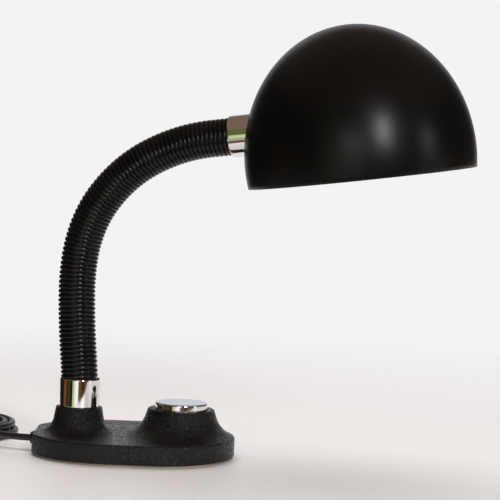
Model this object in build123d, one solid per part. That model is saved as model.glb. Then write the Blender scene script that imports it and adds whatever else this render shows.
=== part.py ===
from build123d import *
from math import acos, asin, cos, pi, radians, sin, sqrt, tan
import os

# A desk lamp on an oval cast foot, with a ribbed bendable neck, a domed shade and a round push button.
# Millimetres, +Z up, floor at Z 0, origin under the foot's centre, the neck at -X and the button at +X.

# Cuts run past their target by this much
overrun = 1.0
# Thread and hole clearances
thread_clearance = 0.1
slip_clearance = 0.3

# Oval foot
oval_round_radius = 78.0
oval_left_x = -21.0
oval_right_x = 18.0
oval_flat_half_width = 30.0
oval_corner_round = 3.0
pad_thickness = 2.0
pad_inset = 2.5
casting_side = 18.0
casting_wall = 5.0
casting_plate = 5.0
casting_top_round = 2.0
casting_bottom_round = 1.0
cover_thickness = 1.5
cover_clearance = 0.4

# Both bosses run out into the plate, a little under its top
boss_sink = 1.4

# Neck boss on the foot
neck_boss_from_flat = 40.75
neck_boss_top_radius = 21.7
neck_boss_rise = 23.5
neck_boss_draft_deg = 9.7
neck_boss_flare = 17.0
neck_boss_edge_round = 1.2
neck_boss_top_wall = 6.5
neck_boss_bore_radius = 16.0

# Button boss on the foot
button_boss_x = 44.3
button_boss_top_radius = 31.2
button_boss_rise = 25.0
button_boss_draft_deg = 18.6
button_boss_flare = 27.4
button_boss_edge_round = 2.0
button_boss_bore_radius = 24.0
switch_web_bottom = 27.0
switch_web_thickness = 3.0

# Push button, switch and return spring
button_radius = 25.0
button_clearance = 0.35
button_proud = 6.0
button_edge_round = 1.6
button_skirt = 13.0
button_wall = 1.2
button_top = 1.5
button_dish_depth = 0.5
button_dish_radius = 21.0
plunger_radius = 3.0
plunger_running_clearance = 0.05
plunger_length = 21.5
plunger_head_radius = 6.0
plunger_head_height = 2.0
switch_side = 18.0
switch_height = 19.0
switch_corner_round = 1.5
bushing_radius = 5.0
bushing_height = 9.0
bushing_bore_depth = 14.0
switch_nut_radius = 8.0
switch_nut_height = 3.0
spring_coil_radius = 10.5
spring_wire_radius = 0.6
spring_turns = 5
spring_end_clearance = 0.05

# Collar, nipple, washer and nut at the foot of the neck
lower_collar_radius = 18.9
lower_collar_length = 26.5
collar_clearance = 0.95
collar_floor = 2.0
collar_edge_round = 0.5
nipple_radius = 4.9
nipple_bore_radius = 3.5
lower_nipple_below = 14.5
lower_nipple_above = 13.5
washer_radius = 9.0
washer_thickness = 1.0
nut_radius = 8.5
nut_height = 4.5

# Ribbed neck: bent links and a straight last one
neck_yaw_deg = 15.0
first_link_length = 44.23
link_length = 30.915
link_bends_deg = (-6.0, 2.0, 2.8, 7.7, 13.0, 15.4, 12.6, 13.4, 10.3, 10.8, 0.0)
joint_reach_deg = 9.0
joint_clearance = 0.3
sleeve_joint_clearance = 0.9
sleeve_crest_radius = 17.3
sleeve_valley_radius = 15.6
sleeve_bore_radius = 11.0
first_link_ribs = 10
link_ribs = 7
rib_shares = (0.0, 0.14, 0.7, 0.84)
core_radius = 10.7
core_bore_radius = 5.0
core_ball_radius = 8.5
core_socket_radius = 8.8

# Collar at the shade
upper_collar_radius = 19.2
upper_collar_depth = 12.0
upper_collar_block = 12.0
upper_nipple_inside = 10.0
upper_nipple_length = 27.0
saddle_radius = 12.0
saddle_face = 22.0
upper_nut_height = 4.5

# Shade: half an ellipsoid, seen from the collar
shade_radius = 105.0
shade_half_height = 121.0
shade_centre_above_rim = 18.0
shade_wall = 0.9
shade_hem_radius = 1.1
shade_hem_lift = 1.2
shade_skin_from_collar = 16.04
shade_rim_below_collar = 49.6
shade_twist_deg = 2.2

# Lampholder and bulb, along the collar's axis
holder_cap_radius = 20.0
holder_cap_length = 19.5
holder_cap_wall = 2.5
holder_cap_end = 3.0
holder_cap_round = 3.0
holder_body_radius = 19.5
holder_body_length = 25.0
holder_body_bore_radius = 15.5
holder_partition = 3.0
holder_ring_radius = 23.0
holder_ring_length = 8.0
holder_ring_clearance = 0.1
shell_radius = 15.3
shell_wall = 0.8
shell_length = 19.0
contact_radius = 5.0
contact_height = 4.0
bulb_cap_radius = 13.2
bulb_cap_length = 24.0
bulb_radius = 30.0
bulb_neck_radius = 13.0
bulb_length = 82.0
bulb_wall = 0.8

# Cord way in, clamp, terminal block and leads inside the foot
cord_radius = 3.2
cord_z = 11.5
grommet_flange_radius = 7.3
grommet_nose_radius = 5.2
grommet_flange = 4.3
grommet_neck_radius = 5.0
grommet_back_radius = 6.2
grommet_back = 2.0
grommet_round = 0.8
clamp_from_flat = 15.0
clamp_width = 8.0
clamp_length = 26.0
clamp_thickness = 1.5
clamp_gap = 0.05
clamp_screw_y = 9.0
small_screw_radius = 1.5
small_screw_head_radius = 2.75
small_screw_head = 2.0
small_screw_length = 10.5
block_from_neck = 30.25
block_length = 20.0
block_width = 17.0
lead_radius = 1.0
mains_lead_y = 1.4
mains_lead_drop = 1.3
neck_lead_y = 1.6
neck_lead_headroom = 1.7
neck_lead_bend = 7.0
neck_lead_up = 5.0
switch_lead_y = 4.0
cover_screw_inset = 15.0
cover_screw_deg = 45.0
cover_post_radius = 5.0
cover_screw_radius = 1.75
cover_screw_head_radius = 3.2
cover_screw_head = 1.0
cover_screw_length = 10.0

# Mains cord: lead, two-layer coil with a tie, plug
inlet_end_from_flat = 27.0
lead_start_from_flat = 8.0
lead_turn_from_flat = 17.0
lead_join_from_flat = 43.0
coil_lead_in = 12.8
lead_corner_share = 0.45
coil_centre_from_flat = 88.0
coil_centre_y = 82.0
coil_outer_radius = 62.0
coil_pitch = 7.1
coil_turns_in = 2.25
coil_turns_back = 0.5
coil_turns_out = 2.1944
tail_length = 45.0
tie_thickness = 1.0
tie_width = 6.0
tie_clearance = 0.3
tie_round = 2.0
plug_neck_length = 12.0
plug_neck_radius = 4.5
plug_body_length = 26.0
plug_body_width = 26.0
plug_nose_width = 35.0
plug_body_height = 13.5
plug_round = 3.0
plug_foot_gap = 0.2
pin_radius = 2.0
pin_length = 19.0
pin_root = 6.0
pin_spacing = 18.6

os.makedirs("parts", exist_ok=True)
written = []


def write(node, shape):
    export_step(shape, "parts/" + node + ".step")
    written.append(node)


def rod(radius, bottom, top, x=0.0, y=0.0):
    """A cylinder between two heights."""
    return Pos(x, y, (bottom + top) / 2) * Cylinder(radius, top - bottom)


def tube(radius, bore, bottom, top, x=0.0, y=0.0):
    """A hollow cylinder between two heights, with its bore cut past both ends."""
    return rod(radius, bottom, top, x, y) - rod(bore, bottom - overrun, top + overrun, x, y)


def rod_x(radius, left, right, y, z):
    """A cylinder along X."""
    return Pos((left + right) / 2, y, z) * Rot(0, 90, 0) * Cylinder(radius, right - left)


def hex_nut(radius, bore, bottom, top, x=0.0):
    """A six-sided nut between two heights."""
    body = extrude(Pos(x, 0, bottom) * RegularPolygon(radius, 6), top - bottom)
    return body - rod(bore, bottom - overrun, top + overrun, x)


# Places along the foot, counted from its flat end
wall_outside = oval_left_x - sqrt(oval_round_radius**2 - oval_flat_half_width**2)
wall_inside = wall_outside + casting_wall
neck_boss_x = wall_outside + neck_boss_from_flat
block_left_x = neck_boss_x + block_from_neck
clamp_x = wall_outside + clamp_from_flat
inlet_end_x = wall_outside + inlet_end_from_flat
lead_start_x = wall_outside + lead_start_from_flat
lead_turn_x = wall_outside - lead_turn_from_flat
lead_join_x = wall_outside - lead_join_from_flat
coil_centre_x = wall_outside - coil_centre_from_flat


def oval(inset):
    """The foot's outline: an oval with one flat end for the cord."""
    spacing = oval_right_x - oval_left_x
    outline = Pos(oval_left_x + spacing / 2, 0) * SlotCenterToCenter(spacing, 2 * (oval_round_radius - inset))
    beyond = Pos(wall_outside + inset - oval_round_radius, 0) * Rectangle(
        2 * oval_round_radius, 4 * oval_round_radius
    )
    outline = outline - beyond
    return fillet(outline.vertices().group_by(Axis.X)[0], oval_corner_round)


# Heights in the foot
casting_bottom = pad_thickness
plate_top = casting_bottom + casting_side
plate_under = plate_top - casting_plate
cover_top = casting_bottom + cover_thickness
neck_boss_top = plate_top + neck_boss_rise
neck_boss_under = neck_boss_top - neck_boss_top_wall
button_boss_top = plate_top + button_boss_rise
switch_web_top = switch_web_bottom + switch_web_thickness
button_top_z = button_boss_top + button_proud
button_under = button_top_z - button_top
small_screw_seat = cord_z - cord_radius - clamp_gap - clamp_thickness
small_screw_tip = small_screw_seat + small_screw_length
small_screw_hole = small_screw_radius + thread_clearance
screw_spots = [(clamp_x, clamp_screw_y), (clamp_x, -clamp_screw_y), (block_left_x + block_length / 2, 0.0)]
cover_reach = oval_round_radius - cover_screw_inset
cover_out = cover_reach * cos(radians(cover_screw_deg))
cover_aside = cover_reach * sin(radians(cover_screw_deg))
cover_columns = (oval_left_x - cover_out, oval_right_x + cover_out)
cover_spots = [(x, s * cover_aside) for x in cover_columns for s in (-1, 1)]


def boss(top_radius, rise, draft_deg, flare, edge_round):
    """A boss with a drafted side that runs out in an arc, its top edge rounded."""
    draft = radians(draft_deg)
    foot_z = plate_top - boss_sink
    top_z = plate_top + rise
    side_z = foot_z + flare - flare * sin(draft)
    side_radius = top_radius + (top_z - side_z) * tan(draft)
    flare_radius = side_radius + flare * cos(draft)
    middle = (draft + pi / 2) / 2
    bend = (flare_radius - flare * cos(middle), foot_z + flare - flare * sin(middle))
    foot = (flare_radius, foot_z)
    side = (side_radius, side_z)
    outline = Polyline(foot, (0, foot_z), (0, top_z), (top_radius, top_z), side)
    outline += ThreePointArc(side, bend, foot)
    form = revolve(Plane.XZ * make_face(outline.edges()), Axis.Z)
    return fillet(form.edges().filter_by(GeomType.CIRCLE).group_by(Axis.Z)[-1], edge_round)


casting = extrude(Pos(0, 0, casting_bottom) * oval(0.0), casting_side)
casting = fillet(casting.faces().sort_by(Axis.Z)[-1].edges(), casting_top_round)
casting = fillet(casting.faces().sort_by(Axis.Z)[0].edges(), casting_bottom_round)
button_boss = boss(
    button_boss_top_radius,
    button_boss_rise,
    button_boss_draft_deg,
    button_boss_flare,
    button_boss_edge_round,
)
neck_boss = boss(
    neck_boss_top_radius,
    neck_boss_rise,
    neck_boss_draft_deg,
    neck_boss_flare,
    neck_boss_edge_round,
)
above_plate = extrude(
    Pos(0, 0, plate_top - casting_top_round) * oval(casting_top_round), button_boss_rise + neck_boss_rise
)
casting += Pos(button_boss_x, 0, 0) * button_boss & above_plate
casting += Pos(neck_boss_x, 0, 0) * neck_boss & above_plate
cavity_start = casting_bottom - overrun
casting -= extrude(Pos(0, 0, cavity_start) * oval(casting_wall), plate_under - cavity_start)
casting -= rod(neck_boss_bore_radius, plate_under - overrun, neck_boss_under, neck_boss_x)
nipple_hole = nipple_radius + slip_clearance
casting -= rod(nipple_hole, neck_boss_under - overrun, neck_boss_top + overrun, neck_boss_x)
casting -= rod(button_boss_bore_radius, plate_under - overrun, switch_web_bottom, button_boss_x)
casting -= rod(button_radius + button_clearance, switch_web_top, button_boss_top + overrun, button_boss_x)
bushing_hole = bushing_radius + thread_clearance
casting -= rod(bushing_hole, switch_web_bottom - overrun, switch_web_top + overrun, button_boss_x)
for spot_x, spot_y in cover_spots:
    casting += rod(cover_post_radius, cover_top, plate_under + overrun, spot_x, spot_y)
    casting -= rod(
        cover_screw_radius + thread_clearance,
        cover_top - overrun,
        casting_bottom + cover_screw_length + overrun,
        spot_x,
        spot_y,
    )
for spot_x, spot_y in screw_spots:
    hole_end = small_screw_tip + thread_clearance
    casting -= rod(small_screw_hole, plate_under - overrun, hole_end, spot_x, spot_y)
casting -= rod_x(grommet_neck_radius, wall_outside - overrun, wall_inside + overrun, 0.0, cord_z)
write("base_casting", casting)

# Cover plate, its screws and the foot pad
cover = extrude(Pos(0, 0, casting_bottom) * oval(casting_wall + cover_clearance), cover_thickness)
cover_screws = []
for spot_x, spot_y in cover_spots:
    cover -= rod(
        cover_screw_head_radius + thread_clearance,
        casting_bottom - overrun,
        casting_bottom + cover_screw_head,
        spot_x,
        spot_y,
    )
    cover -= rod(cover_screw_radius + thread_clearance, casting_bottom, cover_top + overrun, spot_x, spot_y)
    head = rod(cover_screw_head_radius, casting_bottom, casting_bottom + cover_screw_head, spot_x, spot_y)
    cover_screws.append(
        head + rod(cover_screw_radius, casting_bottom, casting_bottom + cover_screw_length, spot_x, spot_y)
    )
write("base_cover", cover)
write("cover_screws", Compound(children=cover_screws))
write("foot_pad", extrude(oval(pad_inset), pad_thickness))

# Grommet, cord clamp, terminal block and their screws
grommet_nose = Rot(0, -90, 0) * Cone(grommet_flange_radius, grommet_nose_radius, grommet_flange)
grommet = Pos(wall_outside - grommet_flange / 2, 0, cord_z) * grommet_nose
grommet = fillet(grommet.edges().group_by(Axis.X)[0], grommet_round)
grommet += rod_x(grommet_neck_radius, wall_outside, wall_inside, 0.0, cord_z)
grommet_lip = rod_x(grommet_back_radius, wall_inside, wall_inside + grommet_back, 0.0, cord_z)
lip_corner = (Align.MIN, Align.CENTER, Align.MIN)
lip_trim = Box(grommet_back, 2 * grommet_back_radius, grommet_back_radius, align=lip_corner)
grommet += grommet_lip - Pos(wall_inside, 0, plate_under) * lip_trim
grommet -= rod_x(
    cord_radius + thread_clearance,
    wall_outside - grommet_flange - overrun,
    wall_inside + grommet_back + overrun,
    0.0,
    cord_z,
)
write("cord_grommet", grommet)
clamp_bar = Box(clamp_width, clamp_length, clamp_thickness)
clamp = Pos(clamp_x, 0, small_screw_seat + clamp_thickness / 2) * clamp_bar
block_height = plate_under - small_screw_seat
block = Pos(block_left_x + block_length / 2, 0, small_screw_seat + block_height / 2) * Box(
    block_length, block_width, block_height
)
small_screws = []
for spot_x, spot_y in screw_spots:
    hole = rod(small_screw_hole, small_screw_seat - overrun, plate_under + overrun, spot_x, spot_y)
    clamp -= hole
    block -= hole
    head = rod(small_screw_head_radius, small_screw_seat - small_screw_head, small_screw_seat, spot_x, spot_y)
    small_screws.append(head + rod(small_screw_radius, small_screw_seat, small_screw_tip, spot_x, spot_y))
write("cord_clamp", clamp)
write("terminal_block", block)
write("clamp_screws", Compound(children=small_screws))

# Leads: cord to block, block to switch, block to neck
mains_z = cord_z - mains_lead_drop
mains_leads = [rod_x(lead_radius, inlet_end_x, block_left_x, s * mains_lead_y, mains_z) for s in (-1, 1)]
write("mains_leads", Compound(children=mains_leads))
switch_left = button_boss_x - switch_side / 2
block_right = block_left_x + block_length
switch_leads = [rod_x(lead_radius, block_right, switch_left, s * switch_lead_y, cord_z) for s in (-1, 1)]
write("switch_leads", Compound(children=switch_leads))
neck_leads = []
for side in (-1, 1):
    lead_y = side * neck_lead_y
    lead_z = plate_under - neck_lead_headroom
    lead_top = neck_boss_under - lower_nipple_below + neck_boss_top_wall + neck_lead_up
    route = FilletPolyline(
        (block_left_x, lead_y, lead_z),
        (neck_boss_x, lead_y, lead_z),
        (neck_boss_x, lead_y, lead_top),
        radius=neck_lead_bend,
    )
    section = Plane(origin=(block_left_x, lead_y, lead_z), z_dir=(-1, 0, 0)) * Circle(lead_radius)
    neck_leads.append(sweep(section, path=route))
write("neck_leads", Compound(children=neck_leads))

# Push button: cap, plunger, return spring, switch and its nut
cap = rod(button_radius, button_top_z - button_skirt, button_top_z, button_boss_x)
cap = fillet(cap.edges().group_by(Axis.Z)[-1], button_edge_round)
cap -= rod(button_radius - button_wall, button_top_z - button_skirt - overrun, button_under, button_boss_x)
dish_sphere = (button_dish_radius**2 + button_dish_depth**2) / (2 * button_dish_depth)
cap -= Pos(button_boss_x, 0, button_top_z - button_dish_depth + dish_sphere) * Sphere(dish_sphere)
write("button_cap", cap)
plunger = rod(plunger_radius, button_under - plunger_length, button_under, button_boss_x)
plunger += rod(plunger_head_radius, button_under - plunger_head_height, button_under, button_boss_x)
write("button_plunger", plunger)
switch = Box(switch_side, switch_side, switch_height)
switch = fillet(switch.edges().filter_by(Axis.Z), switch_corner_round)
switch = Pos(button_boss_x, 0, switch_web_bottom - switch_height / 2) * switch
bushing_top = switch_web_bottom + bushing_height
switch += rod(bushing_radius, switch_web_bottom, bushing_top, button_boss_x)
plunger_bore = plunger_radius + plunger_running_clearance
switch -= rod(plunger_bore, bushing_top - bushing_bore_depth, bushing_top + overrun, button_boss_x)
write("switch_body", switch)
write(
    "switch_nut",
    hex_nut(
        switch_nut_radius,
        bushing_hole,
        switch_web_top,
        switch_web_top + switch_nut_height,
        button_boss_x,
    ),
)
spring_bottom = switch_web_top + spring_wire_radius + spring_end_clearance
spring_height = button_under - spring_wire_radius - spring_end_clearance - spring_bottom
spring_path = Pos(button_boss_x, 0, spring_bottom) * Helix(
    pitch=spring_height / spring_turns, height=spring_height, radius=spring_coil_radius
)
spring_section = Plane(origin=spring_path @ 0, z_dir=spring_path % 0) * Circle(spring_wire_radius)
write("button_spring", sweep(spring_section, path=spring_path, is_frenet=True))

# Collar, nipple, washer and nut at the neck's foot
collar_floor_top = neck_boss_top + collar_floor
lower_collar_top = neck_boss_top + lower_collar_length
collar = rod(lower_collar_radius, neck_boss_top, lower_collar_top, neck_boss_x)
collar = fillet(collar.edges().group_by(Axis.Z)[-1], collar_edge_round)
collar = fillet(collar.edges().group_by(Axis.Z)[0], collar_edge_round)
collar_bore = sleeve_crest_radius + collar_clearance
collar -= rod(collar_bore, collar_floor_top, lower_collar_top + overrun, neck_boss_x)
collar -= rod(nipple_hole, neck_boss_top - overrun, collar_floor_top + overrun, neck_boss_x)
write("lower_collar", collar)
nipple_bottom = neck_boss_top - lower_nipple_below
write(
    "lower_nipple",
    tube(nipple_radius, nipple_bore_radius, nipple_bottom, neck_boss_top + lower_nipple_above, neck_boss_x),
)
washer_bottom = neck_boss_under - washer_thickness
nut_bore = nipple_radius + thread_clearance
write("lower_washer", tube(washer_radius, nipple_hole, washer_bottom, neck_boss_under, neck_boss_x))
write("lower_nut", hex_nut(nut_radius, nut_bore, washer_bottom - nut_height, washer_bottom, neck_boss_x))

# The neck lies in one upright plane through the neck boss, turned to the front
neck_forward = Vector(cos(radians(neck_yaw_deg)), -sin(radians(neck_yaw_deg)), 0)
neck_up = Vector(0, 0, 1)
neck_side = neck_up.cross(neck_forward)
link_starts = [Vector(neck_boss_x, 0, collar_floor_top)]
link_leans = [0.0]
link_lengths = [first_link_length] + [link_length] * (len(link_bends_deg) - 1)


def lean_to(lean_deg):
    """The neck's direction after leaning over from the upright."""
    return neck_up * cos(radians(lean_deg)) + neck_forward * sin(radians(lean_deg))


def along(link, run):
    """Point and direction at a run along one link, an arc of even bend."""
    bend = link_bends_deg[link] * run / link_lengths[link]
    chord = run
    if bend:
        chord = 2 * run / radians(bend) * sin(radians(bend) / 2)
    point = link_starts[link] + lean_to(link_leans[link] + bend / 2) * chord
    return point, lean_to(link_leans[link] + bend)


for index in range(len(link_bends_deg) - 1):
    end_point = along(index, link_lengths[index])[0]
    link_starts.append(end_point)
    link_leans.append(link_leans[index] + link_bends_deg[index])

last = len(link_bends_deg) - 1
sleeve_setback = (sleeve_valley_radius * sin(radians(joint_reach_deg)) + sleeve_joint_clearance) / 2
core_setback = core_radius * sin(radians(joint_reach_deg)) + joint_clearance


def section_at(link, run):
    """A plane square to the neck, with its X axis steady."""
    point, direction = along(link, run)
    return Plane(origin=point, x_dir=neck_side, z_dir=direction)


def link_path(link, start, end):
    """The centre line of a stretch of one link."""
    if link_bends_deg[link]:
        return ThreePointArc(along(link, start)[0], along(link, (start + end) / 2)[0], along(link, end)[0])
    return Line(along(link, start)[0], along(link, end)[0])


def ribbed_sleeve(link):
    """One link of the sleeve: even ribs between valley ends, with its bore."""
    start = sleeve_setback if link else 0.0
    end = link_lengths[link] - (sleeve_setback if link < last else 0.0)
    ribs = link_ribs if link else first_link_ribs
    pitch = (end - start) / ribs
    radii = (sleeve_valley_radius, sleeve_crest_radius, sleeve_crest_radius, sleeve_valley_radius)
    rings = []
    for rib in range(ribs):
        for share, radius in zip(rib_shares, radii):
            rings.append(section_at(link, start + pitch * (rib + share)) * Circle(radius))
    rings.append(section_at(link, end) * Circle(sleeve_valley_radius))
    bore = sweep(section_at(link, start) * Circle(sleeve_bore_radius), path=link_path(link, start, end))
    return loft(rings, ruled=True) - bore


def core_link(link):
    """One link of the steel core: a tube with a ball below and a socket above, bored through in one sweep."""
    start = core_setback if link else 0.0
    end = link_lengths[link]
    core = sweep(section_at(link, start) * Circle(core_radius), path=link_path(link, start, end))
    foot, direction = along(link, 0.0)
    if link:
        core += Pos(foot) * Sphere(core_ball_radius)
    if link < last:
        core -= Pos(along(link, end)[0]) * Sphere(core_socket_radius)
    below = foot - direction * (core_ball_radius + overrun)
    bore_path = Wire([Line(below, foot), link_path(link, 0.0, end)])
    bore_start = Plane(origin=below, x_dir=neck_side, z_dir=direction)
    return core - sweep(bore_start * Circle(core_bore_radius), path=bore_path)


for index in range(len(link_bends_deg)):
    write("neck_sleeve_%02d" % index, ribbed_sleeve(index))
    write("neck_core_%02d" % index, core_link(index))

# The head's frame: Z along the collar, X to the top of the shade
collar_direction = along(last, link_length)[1]
neck_end = along(last, link_length)[0]
collar_mouth = neck_end - collar_direction * upper_collar_depth
upright = neck_side.cross(collar_direction) * -1
shade_up = upright * cos(radians(shade_twist_deg)) - neck_side * sin(radians(shade_twist_deg))
head = Plane(origin=collar_mouth, x_dir=shade_up, z_dir=collar_direction)
collar_share = (shade_rim_below_collar - shade_centre_above_rim) / shade_half_height
shade_axis_from_collar = shade_skin_from_collar + shade_radius * sqrt(1 - collar_share**2)
rim_centre = head.from_local_coords(Vector(-shade_rim_below_collar, 0, shade_axis_from_collar))
shade_frame = Plane(origin=rim_centre, x_dir=collar_direction, z_dir=shade_up)


def dome(shrink):
    """A solid half ellipsoid standing on the rim plane."""
    radius = shade_radius - shrink
    half_height = shade_half_height - shrink
    low_share = shade_centre_above_rim / half_height
    rim_radius = radius * sqrt(1 - low_share**2)
    low_deg = asin(low_share) * 180 / pi
    curve = EllipticalCenterArc(
        (0, shade_centre_above_rim), radius, half_height, start_angle=-low_deg, arc_size=low_deg + 90
    )
    outline = curve + Line(curve @ 1, (0, 0)) + Line((0, 0), (rim_radius, 0))
    return revolve(Plane.XZ * make_face(outline.edges()), Axis.Z)


outer_dome = dome(0.0)
inner_dome = dome(shade_wall)
rim_radius_now = shade_radius * sqrt(1 - (shade_centre_above_rim / shade_half_height) ** 2)
hem_centre = rim_radius_now - shade_hem_radius
hem = Pos(0, 0, shade_hem_lift) * Torus(hem_centre, shade_hem_radius)
shade = shade_frame * (outer_dome - inner_dome + hem)
collar_hole = head * rod(nipple_hole, 0.0, saddle_face)
write("shade", shade - collar_hole)

# Upper collar, coped to the shade, with its nipple, saddle washer and nut
upper_collar = rod(upper_collar_radius, 0.0, upper_collar_depth + upper_collar_block)
upper_collar = fillet(upper_collar.edges().group_by(Axis.Z)[0], collar_edge_round)
upper_collar -= rod(collar_bore, -overrun, upper_collar_depth)
upper_collar -= rod(nipple_hole, upper_collar_depth - overrun, saddle_face + saddle_face)
write("upper_collar", head * upper_collar - shade_frame * outer_dome)
nipple_start = upper_collar_depth - upper_nipple_inside
write(
    "upper_nipple",
    head * tube(nipple_radius, nipple_bore_radius, nipple_start, nipple_start + upper_nipple_length),
)
saddle = head * tube(saddle_radius, nipple_hole, upper_collar_depth, saddle_face)
write("upper_saddle", saddle & (shade_frame * inner_dome))
holder_start = saddle_face + upper_nut_height
write("upper_nut", head * hex_nut(nut_radius, nut_bore, saddle_face, holder_start))

# Lampholder
cap_end = holder_start + holder_cap_length
holder_cap = rod(holder_cap_radius, holder_start, cap_end)
holder_cap = fillet(holder_cap.edges().group_by(Axis.Z)[0], holder_cap_round)
holder_cap -= rod(holder_cap_radius - holder_cap_wall, holder_start + holder_cap_end, cap_end + overrun)
holder_cap -= rod(nut_bore, holder_start - overrun, cap_end)
write("holder_cap", head * holder_cap)
body_end = cap_end + holder_body_length
partition_end = cap_end + holder_partition
holder_body = rod(holder_body_radius, cap_end, body_end)
holder_body -= rod(holder_body_bore_radius, partition_end, body_end + overrun)
holder_body -= rod(nipple_bore_radius, cap_end - overrun, partition_end + overrun)
write("holder_body", head * holder_body)
ring_bore = holder_body_radius + holder_ring_clearance
write("holder_ring", head * tube(holder_ring_radius, ring_bore, body_end - holder_ring_length, body_end))
shell_end = partition_end + shell_length
write("holder_shell", head * tube(shell_radius, shell_radius - shell_wall, partition_end, shell_end))
contact_end = partition_end + contact_height
write("holder_contact", head * rod(contact_radius, partition_end, contact_end))

# Bulb
bulb_start = contact_end + bulb_cap_length
write("bulb_cap", head * rod(bulb_cap_radius, contact_end, bulb_start))


def bulb_form(shrink, start):
    """A pear: a cone that meets a sphere tangentially."""
    centre = bulb_start + bulb_length - bulb_radius
    radius = bulb_radius - shrink
    lift = centre - start
    neck = bulb_neck_radius - shrink
    reach = sqrt(lift**2 + neck**2)
    turn = acos(radius / reach) - acos(lift / reach)
    touch = Vector(radius * sin(pi / 2 - turn), centre - radius * cos(pi / 2 - turn))
    low = Vector(neck, start)
    side = Line(low, touch)
    crown = ThreePointArc(touch, (radius, centre), (0, centre + radius))
    outline = side + crown + Line((0, centre + radius), (0, start)) + Line((0, start), low)
    return revolve(Plane.XZ * make_face(outline.edges()), Axis.Z)


write("bulb_glass", head * (bulb_form(0.0, bulb_start) - bulb_form(bulb_wall, bulb_start)))

# Cord: the coil's centre line, quarter turn by quarter turn
coil_low_z = tie_thickness + tie_clearance + cord_radius
coil_high_z = coil_low_z + coil_pitch
coil_inner_radius = coil_outer_radius - coil_pitch * coil_turns_in
coil_turns = coil_turns_in + coil_turns_back + coil_turns_out


def coil_point(turns):
    """A point of the coil: in on the upper layer, down in a half turn, out on the lower layer."""
    back = turns - coil_turns_in
    out = back - coil_turns_back
    if back <= 0:
        radius = coil_outer_radius - coil_pitch * turns
        height = coil_high_z
    elif out < 0:
        share = back / coil_turns_back
        radius = coil_inner_radius - coil_pitch * back * (1 - share)
        height = coil_high_z - coil_pitch * share**2 * (3 - 2 * share)
    else:
        radius = coil_inner_radius + coil_pitch * out
        height = coil_low_z
    angle = -pi / 2 - 2 * pi * turns
    return Vector(coil_centre_x + radius * cos(angle), coil_centre_y + radius * sin(angle), height)


def coil_heading(turns):
    """The coil's direction, from two near points."""
    step_share = 1e-4
    return (coil_point(turns + step_share) - coil_point(turns - step_share)).normalized()


def biarc(start, start_way, end, end_way):
    """Two tangent arcs between two points with given directions."""
    gap = end - start
    ways = start_way + end_way
    bend = 1 - start_way.dot(end_way)
    along_ways = gap.dot(ways)
    reach = (sqrt(along_ways**2 + 2 * bend * gap.dot(gap)) - along_ways) / (2 * bend)
    near_corner = start + start_way * reach
    far_corner = end - end_way * reach
    middle = (near_corner + far_corner) / 2
    middle_way = (far_corner - near_corner).normalized()
    return [TangentArc(start, middle, tangent=start_way), TangentArc(middle, end, tangent=middle_way)]


quarters = int(coil_turns * 4)
stops = [quarter / 4 for quarter in range(quarters + 1)] + [coil_turns]
coil_begin = coil_point(0.0)
coil_end = coil_point(coil_turns)
begin_way = Vector(-1, 0, 0)
end_way = Vector(sin(-pi / 2 - 2 * pi * coil_turns), -cos(-pi / 2 - 2 * pi * coil_turns), 0)
ways = [begin_way] + [coil_heading(turns) for turns in stops[1:-1]] + [end_way]
lead_end = coil_begin - begin_way * coil_lead_in
tail_end = coil_end + end_way * tail_length
coil_edges = [Line(lead_end, coil_begin)]
for index in range(len(stops) - 1):
    coil_edges += biarc(coil_point(stops[index]), ways[index], coil_point(stops[index + 1]), ways[index + 1])
coil_edges.append(Line(coil_end, tail_end))
coil_wire = Wire(coil_edges)
coil_section = Plane(origin=lead_end, z_dir=begin_way) * Circle(cord_radius)
coil = sweep(coil_section, path=coil_wire)
write("cord_coil", coil)

# The coil's least gap to itself, on points along its centre line
coil_length = sum(edge.length for edge in coil_edges)
samples = 1200
coil_points = [coil_wire.position_at(number / samples) for number in range(samples + 1)]
skip = int(samples * coil_outer_radius / coil_length)
least = min((a - b).length for i, a in enumerate(coil_points) for b in coil_points[i + skip :])
print("coil length", round(coil_length, 1), "least self gap", round(least - 2 * cord_radius, 2))
print("coil volume ratio", round(coil.volume / (pi * cord_radius**2 * coil_length), 4))

# The cord's inlet in the clamp, and the lead from there through the grommet to the coil
write("cord_inlet", rod_x(cord_radius, lead_start_x, inlet_end_x, 0.0, cord_z))
lead_points = [
    Vector(lead_start_x, 0, cord_z),
    Vector(lead_turn_x, 0, cord_z),
    Vector(lead_join_x, coil_begin.Y, coil_high_z),
    lead_end,
]
lead_radii = []
for index in range(1, len(lead_points) - 1):
    before = lead_points[index] - lead_points[index - 1]
    after = lead_points[index + 1] - lead_points[index]
    half_turn = acos(before.normalized().dot(after.normalized())) / 2
    lead_radii.append(lead_corner_share * min(before.length, after.length) / tan(half_turn))
print("lead radii", [round(radius, 1) for radius in lead_radii])
lead_path = FilletPolyline(*lead_points, radius=lead_radii)
lead = sweep(Plane(origin=lead_points[0], z_dir=(-1, 0, 0)) * Circle(cord_radius), path=lead_path)
write("cord_lead", lead)
lead_share = lead.volume / (pi * cord_radius**2 * lead_path.length)
print("lead length", round(lead_path.length, 1), "volume ratio", round(lead_share, 4))

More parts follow.
